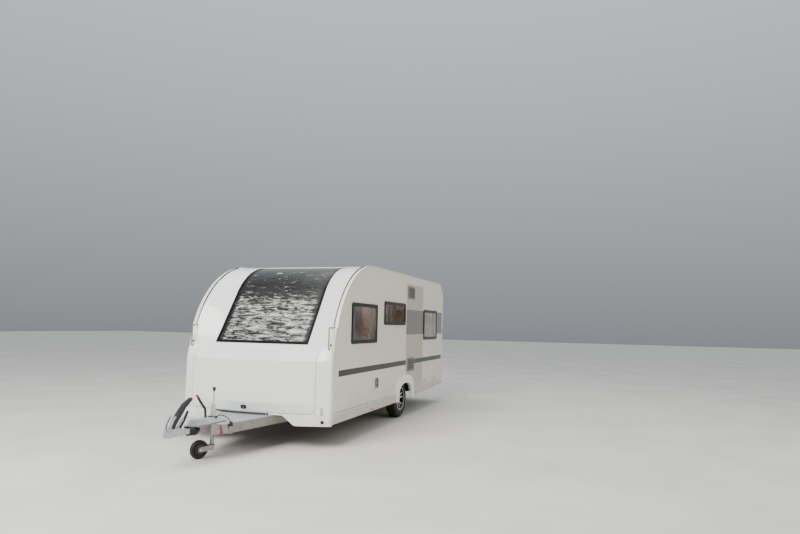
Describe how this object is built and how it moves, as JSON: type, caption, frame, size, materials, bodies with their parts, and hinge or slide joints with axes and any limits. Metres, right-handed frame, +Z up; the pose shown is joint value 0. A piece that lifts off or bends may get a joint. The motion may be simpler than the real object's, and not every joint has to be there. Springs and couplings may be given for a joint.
{
  "type": "travel caravan",
  "caption": "Single-axle travel caravan with a panoramic front window, bowed locker lid, entrance door, hatches, corner steadies, drawbar and a winding jockey wheel.",
  "frame": {"origin": "on the ground, midway along the whole length and width", "axes": "+X forward to the coupling, +Y to the caravan's left, +Z up"},
  "size_m": [7.547, 2.342, 2.612],
  "materials": {
    "white_shell": "semi-gloss",
    "black_frame": "gloss",
    "tinted_pane": "clear tinted",
    "grey_plastic": "matt",
    "sill_metal": "satin",
    "lamp_red": "gloss",
    "lamp_amber": "gloss",
    "galvanised": "zinc",
    "cast": "painted",
    "steel_shaft": "plain",
    "black_plastic": "matt",
    "rubber": "matt",
    "tyre": "matt",
    "alloy": "machined on black",
    "light_wood": "matt",
    "floor_board": "matt",
    "cloth": "woven"
  },
  "bodies": {
    "caravan_body": {"side_wall_left": "white_shell", "side_wall_right": "white_shell", "front_panel": "white_shell", "front_lower_panel": "white_shell", "roof_panel": "white_shell", "rear_panel": "white_shell", "door_frame": "white_shell", "rear_bumper": "white_shell", "wheel_arch_trims": "white_shell", "roof_lights": "white_shell", "grab_handles": "white_shell", "front_window_frame": "black_frame", "side_window_frames": "black_frame", "jockey_outer_tube": "black_frame", "front_window_pane": "tinted_pane", "side_window_panes": "tinted_pane", "fridge_vents": "grey_plastic", "heater_flue": "grey_plastic", "gas_locker_tub": "grey_plastic", "drawbar_cover": "grey_plastic", "awning_rails": "grey_plastic", "side_skirts": "sill_metal", "rear_lamps": "lamp_red", "marker_lamps": "lamp_amber", "overrun_housing": "galvanised", "coupling_head": "galvanised", "chassis_rails": "galvanised", "drawbar": "galvanised", "axle": "galvanised", "jockey_clamp": "galvanised", "steady_brackets": "galvanised", "overrun_shaft": "steel_shaft", "coupling_lever": "black_plastic", "handbrake_lever": "black_plastic", "tow_plug": "black_plastic", "wheel_boxes": "black_plastic", "bellows": "rubber", "tow_cable": "rubber", "furniture": "light_wood", "floor": "floor_board", "upholstery": "cloth"},
    "wheel_left": {"tyre_left": "tyre", "rim_left": "alloy", "drum_left": "cast"},
    "wheel_right": {"tyre_right": "tyre", "rim_right": "alloy", "drum_right": "cast"},
    "entrance_door": {"door": "white_shell", "door_window": "tinted_pane"},
    "locker_lid": {"gas_locker_lid": "white_shell"},
    "storage_hatch": {"service_hatch": "white_shell"},
    "cassette_hatch": {"toilet_hatch": "white_shell"},
    "steady_fl": {"steady_front_left": "galvanised"},
    "steady_fr": {"steady_front_right": "galvanised"},
    "steady_rl": {"steady_rear_left": "galvanised"},
    "steady_rr": {"steady_rear_right": "galvanised"},
    "jockey_slider": {"jockey_inner_tube": "galvanised"},
    "jockey_caster": {"jockey_fork": "galvanised"},
    "jockey_roller": {"jockey_wheel": "rubber"}
  },
  "joints": [
    {"name": "wheel_left_spin", "type": "hinge", "parent": "caravan_body", "child": "wheel_left", "pos_m": [-1.08, 0.985, 0.327], "axis": [0, 1, 0], "continuous": true},
    {"name": "wheel_right_spin", "type": "hinge", "parent": "caravan_body", "child": "wheel_right", "pos_m": [-1.08, -0.985, 0.327], "axis": [0, 1, 0], "continuous": true},
    {"name": "door_hinge", "type": "hinge", "parent": "caravan_body", "child": "entrance_door", "pos_m": [0.3025, -1.162, 1.38], "axis": [0, 0, 1], "range_deg": [0, 150]},
    {"name": "locker_lid_hinge", "type": "hinge", "parent": "caravan_body", "child": "locker_lid", "pos_m": [2.02, 0, 1.268], "axis": [0, -1, 0], "range_deg": [0, 75]},
    {"name": "storage_hatch_hinge", "type": "hinge", "parent": "caravan_body", "child": "storage_hatch", "pos_m": [-2.715, 1.156, 0.885], "axis": [1, 0, 0], "range_deg": [0, 95]},
    {"name": "cassette_hatch_hinge", "type": "hinge", "parent": "caravan_body", "child": "cassette_hatch", "pos_m": [-2.945, -1.156, 0.89], "axis": [-1, 0, 0], "range_deg": [0, 95]},
    {"name": "steady_fl_fold", "type": "hinge", "parent": "caravan_body", "child": "steady_fl", "pos_m": [1.79, 0.82, 0.378], "axis": [0, -1, 0], "range_deg": [0, 68]},
    {"name": "steady_fr_fold", "type": "hinge", "parent": "caravan_body", "child": "steady_fr", "pos_m": [1.79, -0.82, 0.378], "axis": [0, -1, 0], "range_deg": [0, 68]},
    {"name": "steady_rl_fold", "type": "hinge", "parent": "caravan_body", "child": "steady_rl", "pos_m": [-3.3, 0.82, 0.378], "axis": [0, 1, 0], "range_deg": [0, 68]},
    {"name": "steady_rr_fold", "type": "hinge", "parent": "caravan_body", "child": "steady_rr", "pos_m": [-3.3, -0.82, 0.378], "axis": [0, 1, 0], "range_deg": [0, 68]},
    {"name": "jockey_wind", "type": "slide", "parent": "caravan_body", "child": "jockey_slider", "axis": [0, 0, 1], "range_m": [-0.12, 0.07]},
    {"name": "jockey_swivel", "type": "hinge", "parent": "jockey_slider", "child": "jockey_caster", "pos_m": [2.95, 0, 0.2], "axis": [0, 0, 1], "continuous": true},
    {"name": "jockey_roll", "type": "hinge", "parent": "jockey_caster", "child": "jockey_roller", "pos_m": [3.09954, -0.06973, 0.11], "axis": [0.4226, 0.9063, 0], "continuous": true}
  ]
}
